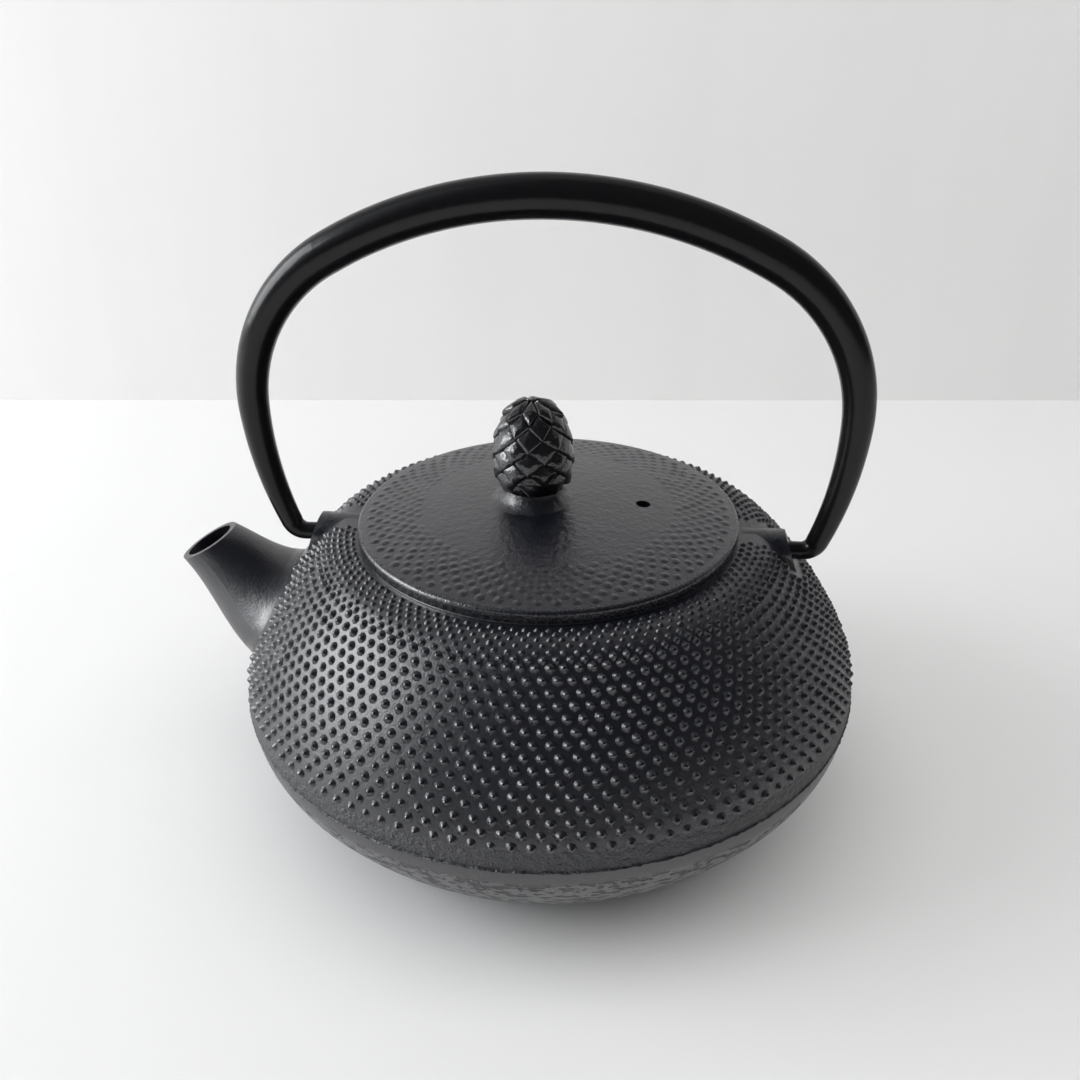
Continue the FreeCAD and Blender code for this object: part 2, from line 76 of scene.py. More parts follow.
# A cast bump in shares of its foot's radius and of its height, from the foot to the tip
STONE_SIDES = 8
STONE_SINK = 0.12
STONE_PROFILE = ((0.85, 0.12), (0.57, 0.52), (0.36, 0.8), (0.15, 0.96))

# Skin that stays bare of bumps: an oval at the spout's root, and a strip at each ear
SPOUT_ROOT_HEIGHT = 0.0435
SPOUT_ROOT_HALF_WIDTH = 0.0192
SPOUT_ROOT_HALF_HEIGHT = 0.0145
EAR_HALF_WIDTH = 0.0052
EAR_FOOT_HEIGHT = 0.0592
EAR_REACH = 0.044

# Casting seam: half its gap under the spout, the share of its stand that is sunk in the belly,
# and the share of its half height where its flat crest ends
SEAM_GAP = 0.0115
SEAM_SINK = 0.6
SEAM_CREST = 0.4

# Grain of the textures that make repeats uneven, and how far they move the lid's bumps and the cone
STONE_GRAIN = 0.004
SEAM_GRAIN = 0.0011
CONE_GRAIN = 0.003
LID_STRAY_SHARE = 0.6
CONE_STRAY = 0.0007

# Core of the knob: its peened end's edge in shares of that end's radius and height, and its rings
# in shares of the way from the widest ring down to the foot and up to the tip
CORE_SIDES = 48
CORE_SMOOTH = math.radians(35)
PEEN_EDGE_RADIUS = 0.6
PEEN_EDGE_HEIGHT = 0.35
CORE_BELOW = (-0.6, -0.3, 0.0)
CORE_ABOVE = (0.3, 0.55, 0.75, 0.88, 0.96)

# Scale of the knob: depth of its root, share of its thickness that is straight, share of its
# outline that the slope over that keeps, its width against its place, and its edges
SCALE_ROOT = 0.0012
SCALE_STRAIGHT = 0.55
SCALE_TAPER = 0.86
SCALE_OVERLAP = 1.04
SCALE_BEVEL = 0.00022
SCALE_SMOOTH = math.radians(40)

# Finishes: indices of refraction, and the radii between which the lid's plain centre fades out
LACQUER_IOR = 1.9
PAINT_IOR = 1.38
FLOOR_IOR = 1.45
LID_PLAIN_OUTER = 0.0335
LID_PLAIN_INNER = 0.027

# Stage: table top and wall, the point that the lights face, the room's light and the camera
FLOOR_SIZE = 6.0
WALL_SIZE = 3.0
WALL_PLACE = (0.03, -0.257, 1.0)
WALL_TURN = (math.radians(-90), 0.0, math.radians(4.3))
LIT_POINT = (0.0, 0.0, 0.06)
ROOM_TINT = (0.95, 0.97, 1.0, 1.0)
ROOM_DIM = 0.04
SIDE_WAY = (0.85, -0.5, 0.1)
SIDE_GLOW = 1.05
BACK_WAY = (-0.1, -0.9, 0.35)
BACK_GLOW = 0.9
CAMERA_PLACE = (-0.02095, 0.20385, 0.17501)
CAMERA_TURN = (math.radians(61.362), math.radians(0.640), math.radians(-173.952))
CAMERA_SENSOR = 36.0
CAMERA_LENS = 33.333
CAMERA_NEAR = 0.01


def size(name, description, default):
    """A length that a user may change, in metres."""
    return FloatProperty(name=name, description=description, default=default, min=0.0,
                         precision=5, unit="LENGTH", subtype="DISTANCE")


def turn(name, description, degrees):
    """An angle that a user may change."""
    return FloatProperty(name=name, description=description, default=math.radians(degrees),
                         unit="ROTATION", subtype="ANGLE")


def share(name, description, default):
    """A share from 0 to 1 that a user may change."""
    return FloatProperty(name=name, description=description, default=default, min=0.0, max=1.0,
                         subtype="FACTOR")


def count(name, description, default):
    """A whole number of like things."""
    return IntProperty(name=name, description=description, default=default, min=1)


def colour(name, description, default):
    """A colour that a user may change."""
    return FloatVectorProperty(name=name, description=description, default=default, size=3,
                               min=0.0, max=1.0, subtype="COLOR")


class TeapotShell(PropertyGroup):
    """Outline of the cast pot, as arcs round its axis."""
    belly_radius: size("Belly radius", "Radius of the pot at its seam", 0.072)
    belly_height: size("Belly height", "Height of the seam over the base", 0.032)
    belly_round: size("Belly round", "Radius of the belly's arc", 0.019)
    shoulder_curve: size("Shoulder curve", "Radius of the shoulder's arc", 0.084)
    shoulder_turn: turn("Shoulder turn", "Slope where belly and shoulder meet", 25.6)
    flank_curve: size("Flank curve", "Radius of the lower flank's arc", 0.060)
    flank_turn: turn("Flank turn", "Slope where belly and flank meet", 31.9)
    mouth_height: size("Mouth height", "Height of the seat round the mouth", 0.0676)
    mouth_round: size("Mouth round", "Radius of the round at the mouth", 0.007)
    wall: size("Wall", "Thickness of the casting", 0.004)
    lid_radius: size("Lid radius", "Radius of the lid", 0.0433)
    lid_edge_height: size("Lid edge height", "Height of the lid's upper edge", 0.0707)
    lid_rise: size("Lid rise", "Rise of the lid's dome over its edge", 0.0036)


class TeapotHailstones(PropertyGroup):
    """Rows of cast bumps on the shoulder and the lid."""
    per_ring: count("Per ring", "Bumps in one ring of the pot", 120)
    first_step: size("First row", "Way along the skin from the seam to the lowest row", 0.0054)
    wide_rows: count("Wide rows", "Rows at the wide step", 15)
    wide_step: size("Wide step", "Way along the skin between the lower rows", 0.00237)
    close_rows: count("Close rows", "Rows at the close step", 6)
    close_step: size("Close step", "Way along the skin between the rows at the mouth", 0.0015)
    foot: size("Foot", "Radius of a bump's foot", 0.00116)
    height: size("Height", "Height of a bump", 0.00080)
    close_size: share("Close size", "Size of the bumps at the mouth against the others", 0.68)
    lid_per_ring: count("Per ring of the lid", "Bumps in one ring of the lid", 66)
    lid_rows: count("Lid rows", "Rows of bumps on the lid", 7)
    lid_first: size("Lid's first row", "Radius of the lid's outer row", 0.0403)
    lid_step: size("Lid step", "Way between the lid's rows", 0.00178)
    lid_foot: size("Lid foot", "Radius of the foot of a bump on the lid", 0.00118)
    lid_height: size("Lid height", "Height of a bump in the lid's outer row", 0.00026)
    lid_fade: share("Lid fade", "Height that the lid's inner row keeps", 0.5)
    unevenness: size("Unevenness", "How far a bump strays from its place", 0.0005)


class TeapotSeam(PropertyGroup):
    """Ragged line where the two halves of the mould met."""
    sides: count("Sides", "Points round the seam", 900)
    stand: size("Stand", "How far the seam stands off the belly", 0.00028)
    half_height: size("Half height", "Half the seam's height", 0.00032)
    raggedness: size("Raggedness", "How far the seam strays", 0.0006)


class TeapotPineCone(PropertyGroup):
    """Knob of the lid."""
    middle_height: size("Middle height", "Height of the cone's widest ring", 0.0847)
    radius: size("Radius", "Radius of the cone under its scales", 0.0074)
    foot_radius: size("Foot radius", "Radius of the cone's foot", 0.006)
    foot_height: size("Foot height", "Height of the cone's foot on the lid", 0.0772)
    rows: count("Rows", "Rows of scales", 7)
    per_row: count("Per row", "Scales in one row", 8)
    first_row: share("First row", "Place of the lowest row in the cone's height", 0.19)
    last_row: share("Last row", "Place of the highest row in the cone's height", 0.92)
    half_height: size("Half height", "Half the height of a scale", 0.0034)
    thickness: size("Thickness", "Thickness of a scale's lower edge", 0.0011)
    lift: turn("Lift", "How far a scale's lower tip stands off", 15.0)
    rim: size("Rim", "Width of a scale's sloping rim", 0.0010)
    swell: size("Swell", "Height of a scale's face over its rim", 0.0004)
    cover: size("Cover", "Depth of the core under the topmost scales", 0.0006)
    tenon_radius: size("Tenon radius", "Radius of the tenon through the lid", 0.0025)
    peen_radius: size("Peen radius", "Radius of the tenon's peened end", 0.0038)
    peen_height: size("Peen height", "Height of the peened end", 0.0012)


class TeapotWire(PropertyGroup):
    """Woven mesh of the strainer."""
    pitch: size("Pitch", "Way between two wires", 0.0008)
    radius: size("Wire radius", "Radius of one wire", 0.0001)


class TeapotColours(PropertyGroup):
    """Colours of the finishes."""
    iron: colour("Iron", "Black lacquer on the castings", (0.0030, 0.0034, 0.0070))
    iron_worn: colour("Worn iron", "Lacquer on the high grain", (0.0065, 0.0070, 0.0115))
    # The flank colour is a painted reflection of the pale table on the iron below the seam
    flank: colour("Flank", "Greyer iron below the seam", (0.072, 0.073, 0.077))
    enamel: colour("Enamel", "Coat inside the pot", (0.008, 0.008, 0.009))
    knob: colour("Knob", "Glossy lacquer on the pine cone", (0.004, 0.004, 0.005))
    paint: colour("Paint", "Satin paint on the handle", (0.0045, 0.0046, 0.0052))
    bright_steel: colour("Bright steel", "Pressed stainless steel", (0.66, 0.66, 0.65))
    dull_steel: colour("Dull steel", "Plain steel of the washer", (0.42, 0.42, 0.41))
    floor: colour("Floor", "Table top", (0.72, 0.72, 0.72))
    wall: colour("Wall", "Foot of the backdrop", (0.90, 0.89, 0.885))
    # Painted shade: the upper backdrop is painted dimmer, as the room's light falls off above the
    # table
    wall_upper_shade: colour("Dim wall", "Upper part of the backdrop", (0.36, 0.36, 0.36))


# Modelling as by hand

def open_mesh(name):
    """An empty mesh object at the origin, open in edit mode."""
    bpy.ops.object.select_all(action="DESELECT")
    bpy.ops.object.add(type="MESH", enter_editmode=True, location=(0.0, 0.0, 0.0))
    piece = bpy.context.object
    piece.name = name
    piece.data.name = name
    return piece


def close_mesh(piece, smooth=True):
    """Turn the faces outwards, leave edit mode and shade the piece."""
    bpy.ops.mesh.select_all(action="SELECT")
    bpy.ops.mesh.normals_make_consistent(inside=False)
    bpy.ops.object.mode_set(mode="OBJECT")
    if smooth:
        bpy.ops.object.shade_smooth()
    return piece


def select_only(*pieces):
    """Select these objects alone, the first one active."""
    bpy.ops.object.select_all(action="DESELECT")
    for piece in pieces:
        piece.select_set(True)
    bpy.context.view_layer.objects.active = pieces[0]


def select_points(piece, test):
    """Select the points of the mesh in edit mode whose place passes a test."""
    mesh = bmesh.from_edit_mesh(piece.data)
    bpy.ops.mesh.select_mode(type="VERT")
    for point in mesh.verts:
        point.select_set(test(point.co))
    mesh.select_flush_mode()
    bmesh.update_edit_mesh(piece.data)


def select_edges(piece, test):
    """Select the edges of the mesh in edit mode whose two ends pass a test."""
    bpy.ops.mesh.select_mode(type="EDGE")
    mesh = bmesh.from_edit_mesh(piece.data)
    for edge in mesh.edges:
        edge.select_set(test(*(point.co for point in edge.verts)))
    mesh.select_flush_mode()
    bmesh.update_edit_mesh(piece.data)


def copy_at(source, location, rotation=(0.0, 0.0, 0.0), scale=(1.0, 1.0, 1.0)):
    """Copy of a piece with its own mesh, turned, scaled and moved in that mesh."""
    select_only(source)
    bpy.ops.object.duplicate(linked=False)
    made = bpy.context.object
    made.location = location
    made.rotation_euler = rotation
    made.scale = scale
    bpy.ops.object.transform_apply(location=True, rotation=True, scale=True)
    return made


def ring_of(piece, number, centre=(0.0, 0.0, 0.0)):
    """Repeat the whole mesh round an upright axis."""
    select_only(piece)
    bpy.ops.object.mode_set(mode="EDIT")
    bpy.ops.mesh.select_all(action="SELECT")
    bpy.ops.mesh.spin(steps=number - 1, dupli=True, angle=math.tau * (number - 1) / number,
                      center=centre, axis=(0.0, 0.0, 1.0))
    bpy.ops.object.mode_set(mode="OBJECT")
    return piece


def joined(name, pieces):
    """Join pieces into one object with this name."""
    select_only(*pieces)
    bpy.ops.object.join()
    piece = bpy.context.object
    piece.name = name
    piece.data.name = name
    return piece


def removed(piece):
    """Delete a pattern piece once its copies are made."""
    select_only(piece)
    bpy.ops.object.delete()


def stray(piece, distance, grain, name):
    """Move every point a little by a cloudy texture, so that no two repeats are alike."""
    clouds = bpy.data.textures.new(name, "CLOUDS")
    clouds.cloud_type = "COLOR"
    clouds.noise_scale = grain
    select_only(piece)
    displace = piece.modifiers.new(name, "DISPLACE")
    displace.texture = clouds
    displace.texture_coords = "LOCAL"
    displace.direction = "RGB_TO_XYZ"
    displace.strength = distance
    bpy.ops.object.modifier_apply(modifier=name)
    return piece


def extrude_to(ring, level, radius, centre=(0.0, 0.0)):
    """Extrude the selected ring to a new level and radius, and return these."""
    old_level, old_radius = ring
    bpy.ops.mesh.extrude_region_move(TRANSFORM_OT_translate={"value": (0, 0, level - old_level)})
    scale = radius / old_radius
    bpy.ops.transform.resize(value=(scale, scale, 1.0), center_override=(*centre, level))
    return level, radius


def close_tip(ring, level, centre=(0.0, 0.0)):
    """Extrude the selected ring to a point on its axis."""
    extrude_to(ring, level, ring[1], centre)
    bpy.ops.mesh.merge(type="CENTER")


# Shapes of the pot that the pieces sit on

def shoulder_middle(shell):
    """Radius and height of the middle of the shoulder's arc."""
    inner = shell.shoulder_curve - shell.belly_round
    return (shell.belly_radius - shell.belly_round - inner * math.cos(shell.shoulder_turn),
            shell.belly_height - inner * math.sin(shell.shoulder_turn))


def skin_at(shell, way):
    """Radius, height and slope of the pot's outer skin at a way up from the seam."""
    belly = (shell.belly_radius - shell.belly_round, shell.belly_height)
    shoulder = shoulder_middle(shell)
    reach = shell.shoulder_curve - shell.mouth_round
    mouth_low = shell.mouth_height - shell.mouth_round
    mouth_turn = math.asin((mouth_low - shoulder[1]) / reach)
    mouth = (shoulder[0] + reach * math.cos(mouth_turn), mouth_low)
    arcs = (
        (belly, shell.belly_round, 0.0, shell.shoulder_turn),
        (shoulder, shell.shoulder_curve, shell.shoulder_turn, mouth_turn),
        (mouth, shell.mouth_round, mouth_turn, math.pi / 2),
    )
    for centre, radius, first, last in arcs:
        slope = first + way / radius
        if slope <= last:
            return centre[0] + radius * math.cos(slope), centre[1] + radius * math.sin(slope), slope
        way -= radius * (last - first)
    return mouth[0] - way, shell.mouth_height, math.pi / 2


def lid_skin_at(shell, radius):
    """Height and slope of the lid's top at a radius."""
    dome = (shell.lid_radius ** 2 + shell.lid_rise ** 2) / (2 * shell.lid_rise)
    slope = math.asin(radius / dome)
    top = shell.lid_edge_height + shell.lid_rise
    return top - dome * (1 - math.cos(slope)), slope


def in_spout(place):
    """True on the skin that the spout's root covers."""
    across = place.y / SPOUT_ROOT_HALF_WIDTH
    along = (place.z - SPOUT_ROOT_HEIGHT) / SPOUT_ROOT_HALF_HEIGHT
    return place.x > 0 and across ** 2 + along ** 2 < 1


def in_ear(place):
    """True on the skin that an ear of the handle covers."""
    return (abs(place.y) < EAR_HALF_WIDTH and place.z > EAR_FOOT_HEIGHT
            and abs(place.x) > EAR_REACH)


# Shader maths

class Field:
    """A number that varies over a surface. Python arithmetic on it adds Math nodes."""

    def __init__(self, finish, socket):
        self.finish = finish
        self.socket = socket

    def __add__(self, other):
        return self.finish.math("ADD", self, other)

    def __radd__(self, other):
        return self.finish.math("ADD", other, self)

    def __sub__(self, other):
        return self.finish.math("SUBTRACT", self, other)

    def __rsub__(self, other):
        return self.finish.math("SUBTRACT", other, self)

    def __mul__(self, other):
        return self.finish.math("MULTIPLY", self, other)

    def __rmul__(self, other):
        return self.finish.math("MULTIPLY", other, self)


class Nodes:
    """A node tree in the making."""

    def __init__(self, tree):
        self.nodes = tree.nodes
        self.links = tree.links

    def node(self, kind, settings=None, inputs=None):
        """Add a node: its settings first, then the values or links of its sockets."""
        node = self.nodes.new(f"ShaderNode{kind}")
        for name, setting in (settings or {}).items():
            setattr(node, name, setting)
        for socket, given in (inputs or {}).items():
            self.feed(node.inputs[socket], given)
        return node

    def feed(self, socket, given):
        """Link a socket, or set its value."""
        if isinstance(given, Field):
            given = given.socket
        if isinstance(given, bpy.types.NodeSocket):
            self.links.new(given, socket)
        else:
            socket.default_value = given

    def math(self, operation, *values):
        """Result of a Math node on these values."""
        node = self.node("Math", {"operation": operation}, dict(enumerate(values)))
        return Field(self, node.outputs[0])

    def step(self, value, low, high):
        """Smooth rise from 0 at low to 1 at high, or a fall where low is the greater."""
        if low > high:
            return 1 - self.step(value, high, low)
        node = self.node("MapRange", {"interpolation_type": "SMOOTHSTEP"},
                         {"Value": value, "From Min": low, "From Max": high})
        return Field(self, node.outputs["Result"])


class Finish(Nodes):
    """A procedural material on Object coordinates."""

    def __init__(self, name):
        self.material = bpy.data.materials.new(name)
        self.material.use_nodes = True
        super().__init__(self.material.node_tree)
        self.shader = self.nodes["Principled BSDF"]
        self.place = self.node("TexCoord").outputs["Object"]
        parts = self.node("SeparateXYZ", inputs={"Vector": self.place})
        self.x, self.y, self.z = (Field(self, parts.outputs[axis]) for axis in "XYZ")

    def root(self, value):
        """Square root of a number."""
        return self.math("SQRT", value)

    def stretched(self, scale):
        """Place on the piece, scaled along its axes."""
        node = self.node("Mapping", {"vector_type": "POINT"},
                         {"Vector": self.place, "Scale": scale})
        return node.outputs["Vector"]

    def noise(self, grain, detail=2.0, roughness=0.5, place=None):
        """Cloudy noise from 0 to 1 with grains of about this length."""
        node = self.node("TexNoise", {"noise_dimensions": "3D"}, {
            "Vector": place or self.place, "Scale": 1 / grain, "Detail": detail,
            "Roughness": roughness})
        return Field(self, node.outputs["Fac"])

    def rings(self, value, grain, detail=1.0):
        """Noise along one number, such as the marks of a lathe along a radius."""
        node = self.node("TexNoise", {"noise_dimensions": "1D"}, {
            "W": value, "Scale": 1 / grain, "Detail": detail})
        return Field(self, node.outputs["Fac"])

    def cells(self, grain, place=None):
        """Distance to the nearest of scattered points, in shares of the grain."""
        node = self.node("TexVoronoi", {"feature": "F1"},
                         {"Vector": place or self.place, "Scale": 1 / grain})
        return Field(self, node.outputs["Distance"])

    def mixed(self, factor, first, second):
        """One colour over another by a factor."""
        node = self.node("Mix", {"data_type": "RGBA"}, {0: factor, 6: first, 7: second})
        return node.outputs[2]

    def relief(self, height):
        """Normal of a surface with this height in metres."""
        node = self.node("Bump", None, {"Strength": 1.0, "Distance": 1.0, "Height": height})
        return node.outputs["Normal"]

    def set(self, **values):
        """Set the shader's sockets, named with underscores for spaces."""
        for name, given in values.items():
            self.feed(self.shader.inputs[name.replace("_", " ")], given)
        return self.material


def rgba(tint):
    """A property's colour with full opacity."""
    return (*tint, 1.0)


def pot_iron(shell, colours):
    """Black lacquer over the cast skin: fine grain, smooth tips, rough band and pitted flank, with a
    painted table reflection on the flank and painted shade in its dents.
    """
    finish = Finish("pot_lacquer")
    radius = finish.root(finish.x * finish.x + finish.y * finish.y)
    height = finish.z
    seam = shell.belly_height
    # Zones by height: the rough band just over the seam, and the flank under it
    upper = finish.step(height, seam - 0.0003, seam + 0.0005)
    band = upper * finish.step(height, seam + 0.0056, seam + 0.0036)
    low = finish.step(height, seam - 0.0028, seam - 0.0048)
    belly = shell.belly_radius - shell.belly_round
    shoulder_x, shoulder_z = shoulder_middle(shell)
    flank_x = belly - (shell.flank_curve - shell.belly_round) * math.cos(shell.flank_turn)
    flank_z = seam + (shell.flank_curve - shell.belly_round) * math.sin(shell.flank_turn)

    def reach_from(centre_x, centre_z):
        """Distance from an arc's middle, in the upright plane through the axis."""
        across = radius - centre_x
        along = height - centre_z
        return finish.root(across * across + along * along)

    def within(reach, curve):
        """1 on the inner side of the wall's middle, 0 on its outer side."""
        middle = curve - shell.wall / 2
        return finish.step(reach, middle + 0.0003, middle - 0.0003)

    # Tips of the bumps stand off the shoulder's arc, and the enamelled inside lies under both arcs
    shoulder_reach = reach_from(shoulder_x, shoulder_z)
    proud = shoulder_reach - shell.shoulder_curve
    tips = finish.step(proud, 0.0002, 0.0006) * finish.step(proud, 0.0022, 0.0014)
    inside = within(shoulder_reach, shell.shoulder_curve)
    inside = inside * within(reach_from(flank_x, flank_z), shell.flank_curve)
    inside = inside * finish.step(height, 0.002, 0.003)
    inside = inside * finish.step(height, shell.mouth_height - 0.003, shell.mouth_height - 0.0038)
    skin = 1 - inside
    grain = finish.noise(0.00055, 3.0, 0.6)
    waves = finish.noise(0.0035, 1.0)
    crust = finish.noise(0.0012, 3.0, 0.65)
    flat_cells = finish.stretched((1.0, 1.0, 2.2))
    dents = finish.step(finish.noise(0.0027, 2.0, 0.55, flat_cells), 0.50, 0.42)
    relief = 0.0001 * (grain - 0.5) + 0.00008 * (waves - 0.5)
    relief = relief + (0.0011 * band + 0.0003 * low) * (crust - 0.5) - 0.0008 * low * dents
    relief = relief * skin
    worn = finish.step(grain + 0.35 * crust, 0.62, 0.95) * skin
    tint = finish.mixed(worn, rgba(colours.iron), rgba(colours.iron_worn))
    # Painted reflection: the flank is painted grey where it would mirror the table, and its dents
    # keep the black as painted shade
    tint = finish.mixed(low * (1 - dents) * skin, tint, rgba(colours.flank))
    tint = finish.mixed(inside, tint, rgba(colours.enamel))
    rough = 0.37 + 0.16 * (grain - 0.5) + 0.15 * band + 0.2 * low * dents
    rough = rough - 0.14 * tips - 0.16 * inside
    return finish.set(Base_Color=tint, Roughness=rough, IOR=LACQUER_IOR,
                      Normal=finish.relief(relief))


def lid_iron(shell, colours):
    """Black lacquer over the lid: plain centre with a fine cast ripple and a sparkling rim."""
    finish = Finish("lid_lacquer")
    radius = finish.root(finish.x * finish.x + finish.y * finish.y)
    grain = finish.noise(0.0005, 2.0, 0.6)
    ripple = finish.noise(0.0016, 2.0, 0.55)
    waves = finish.noise(0.005, 1.0)
    plain = finish.step(radius, LID_PLAIN_OUTER, LID_PLAIN_INNER)
    rim = finish.step(radius, shell.lid_radius - 0.0022, shell.lid_radius - 0.0008)
    top = finish.step(finish.z, shell.lid_edge_height - 0.0035, shell.lid_edge_height - 0.0025)
    relief = 0.00006 * (grain - 0.5) + 0.00008 * (waves - 0.5)
    relief = relief + (0.00008 + 0.00016 * plain) * (ripple - 0.5) * top
    relief = relief + 0.00005 * rim * (grain - 0.5)
    worn = finish.step(grain, 0.6, 0.85)
    tint = finish.mixed(worn, rgba(colours.iron), rgba(colours.iron_worn))
    rough = 0.33 + 0.16 * (grain - 0.5) - 0.05 * rim
    return finish.set(Base_Color=tint, Roughness=rough, IOR=LACQUER_IOR,
                      Normal=finish.relief(relief))


def knob_iron(colours):
    """Glossy lacquer with a flowing surface over a fine grain."""
    finish = Finish("knob_lacquer")
    grain = finish.noise(0.0006, 2.0, 0.6)
    flow = finish.noise(0.0022, 1.0)
    tint = finish.mixed(finish.step(grain, 0.55, 0.8), rgba(colours.knob), rgba(colours.iron))
    rough = 0.2 + 0.2 * (grain - 0.4)
    relief = 0.00008 * (grain - 0.5) + 0.0003 * (flow - 0.5)
    return finish.set(Base_Color=tint, Roughness=rough, IOR=LACQUER_IOR,
                      Normal=finish.relief(relief))


def handle_paint(colours):
    """Satin paint on the bent bar, with a faint orange peel and a few small dimples."""
    finish = Finish("handle_paint")
    peel = finish.noise(0.0007, 1.0)
    waves = finish.noise(0.006, 1.0)
    spots = finish.step(finish.cells(0.0065), 0.13, 0.05)
    light = [1.6 * c for c in colours.paint]
    tint = finish.mixed(finish.step(peel, 0.5, 0.9), rgba(colours.paint), rgba(light))
    rough = 0.22 + 0.1 * (waves - 0.5) - 0.06 * spots
    relief = 0.000012 * (peel - 0.5) + 0.00004 * (waves - 0.5) - 0.00003 * spots
    return finish.set(Base_Color=tint, Roughness=rough, IOR=PAINT_IOR, Normal=finish.relief(relief))


def bright_steel(colours):
    """Pressed stainless steel with fine marks round its axis."""
    finish = Finish("bright_steel")
    radius = finish.root(finish.x * finish.x + finish.y * finish.y)
    marks = finish.rings(radius + 0.3 * finish.z, 0.00012)
    smear = finish.noise(0.012, 2.0)
    dark = [0.92 * c for c in colours.bright_steel]
    tint = finish.mixed(smear, rgba(colours.bright_steel), rgba(dark))
    rough = 0.2 + 0.14 * marks + 0.08 * smear
    return finish.set(Base_Color=tint, Roughness=rough, Metallic=1.0,
                      Normal=finish.relief(0.000004 * marks))


def wire_steel(colours):
    """Drawn stainless wire, duller where the weave holds stain."""
    finish = Finish("wire_steel")
    stain = finish.noise(0.009, 3.0)
    dark = [0.72 * c for c in colours.bright_steel]
    tint = finish.mixed(stain, rgba(colours.bright_steel), rgba(dark))
    return finish.set(Base_Color=tint, Roughness=0.26 + 0.16 * stain, Metallic=1.0)


def dull_steel(colours):
    """Plain steel washer with a punched, slightly stained face."""
    finish = Finish("dull_steel")
    stain = finish.noise(0.0016, 3.0)
    dark = [0.55 * c for c in colours.dull_steel]
    tint = finish.mixed(stain, rgba(colours.dull_steel), rgba(dark))
    return finish.set(Base_Color=tint, Roughness=0.38 + 0.25 * stain, Metallic=1.0,
                      Normal=finish.relief(0.00002 * stain))


def floor_paint(colours):
    """Pale matt table top."""
    finish = Finish("floor_paint")
    cloud = finish.noise(0.15, 2.0)
    dim = [0.985 * c for c in colours.floor]
    tint = finish.mixed(cloud, rgba(colours.floor), rgba(dim))
    return finish.set(Base_Color=tint, Roughness=0.55 + 0.05 * cloud, IOR=FLOOR_IOR)


def wall_paint(colours):
    """Pale wall with a faint upright grain and painted shade on its upper part, seen from its front
    alone.
    """
    finish = Finish("wall_paint")
    streaks = finish.noise(0.03, 2.0, 0.5, finish.stretched((1.0, 1.0, 0.03)))
    dim = [0.95 * c for c in colours.wall]
    tint = finish.mixed(streaks, rgba(colours.wall), rgba(dim))
    # Painted shade darkens the wall above the table
    tint = finish.mixed(finish.step(finish.z, 0.2, 0.5), tint, rgba(colours.wall_upper_shade))
    finish.set(Base_Color=tint, Roughness=0.8)
    behind = finish.node("NewGeometry").outputs["Backfacing"]
    clear = finish.node("BsdfTransparent").outputs["BSDF"]
    seen = finish.node("MixShader", None, {0: behind, 1: finish.shader.outputs["BSDF"], 2: clear})
    finish.links.new(seen.outputs["Shader"], finish.nodes["Material Output"].inputs["Surface"])
    return finish.material


def wear(piece, material):
    """Give a piece one material."""
    piece.data.materials.clear()
    piece.data.materials.append(material)


# Operators, one for each piece or group of like pieces

class TEAPOT_OT_finishes(Operator):
    """Make the finishes and give them to the solids that stay in view"""
    bl_idname = "teapot.finishes"
    bl_label = "Finishes"

    def execute(self, context):
        shell, colours = context.scene.teapot_shell, context.scene.teapot_colours
        steel = bright_steel(colours)
        wire_steel(colours)
        knob_iron(colours)
        worn_by = {
            "pot_body": pot_iron(shell, colours),
            "lid": lid_iron(shell, colours),
            "handle": handle_paint(colours),
            "knob_washer": dull_steel(colours),
            "strainer_rim": steel,
            "strainer_hoop": steel,
        }
        for node, material in worn_by.items():
            wear(frame["nodes"][node], material)
        return {"FINISHED"}


def model_stone(name, foot, height):
    """One cast bump on the origin, standing along +Z."""
    stone = open_mesh(name)
    ring = (-STONE_SINK * height, foot)
    bpy.ops.mesh.primitive_circle_add(vertices=STONE_SIDES, radius=foot, location=(0, 0, ring[0]))
    for radius_share, height_share in STONE_PROFILE:
        ring = extrude_to(ring, height_share * height, radius_share * foot)
    close_tip(ring, height)
    return close_mesh(stone)


def row_of_stones(stone, number, radius, height, slope, scale, odd):
    """Ring of bumps on a skin at a slope, every odd row moved round by half a step."""
    start = math.pi / number if odd else 0.0
    place = (radius * math.cos(start), radius * math.sin(start), height)
    row = copy_at(stone, place, (0.0, math.pi / 2 - slope, start), scale)
    return ring_of(row, number)


class TEAPOT_OT_hailstones(Operator):
    """Cast the rows of small bumps on the pot's shoulder"""
    bl_idname = "teapot.hailstones"
    bl_label = "Hailstones"

    def execute(self, context):
        shell, sizes = context.scene.teapot_shell, context.scene.teapot_hailstones
        stone = model_stone("hailstone", sizes.foot, sizes.height)
        rows = []
        for number in range(sizes.wide_rows + sizes.close_rows):
            close = max(0, number - sizes.wide_rows + 1)
            way = sizes.first_step + (number - close) * sizes.wide_step + close * sizes.close_step
            scale = 1 - (1 - sizes.close_size) * min(1.0, close / 2)
            radius, height, slope = skin_at(shell, way)
            rows.append(row_of_stones(stone, sizes.per_ring, radius, height, slope,
                                      (scale, scale, scale), number % 2))
        removed(stone)
        piece = joined("pot_hailstones", rows)
        bpy.ops.object.mode_set(mode="EDIT")
        select_points(piece, lambda place: in_spout(place) or in_ear(place))
        bpy.ops.mesh.select_linked()
        bpy.ops.mesh.delete(type="VERT")
        bpy.ops.object.mode_set(mode="OBJECT")
        stray(piece, sizes.unevenness, STONE_GRAIN, "hailstone_stray")
        wear(piece, bpy.data.materials["pot_lacquer"])
        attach(piece, "pot")
        return {"FINISHED"}


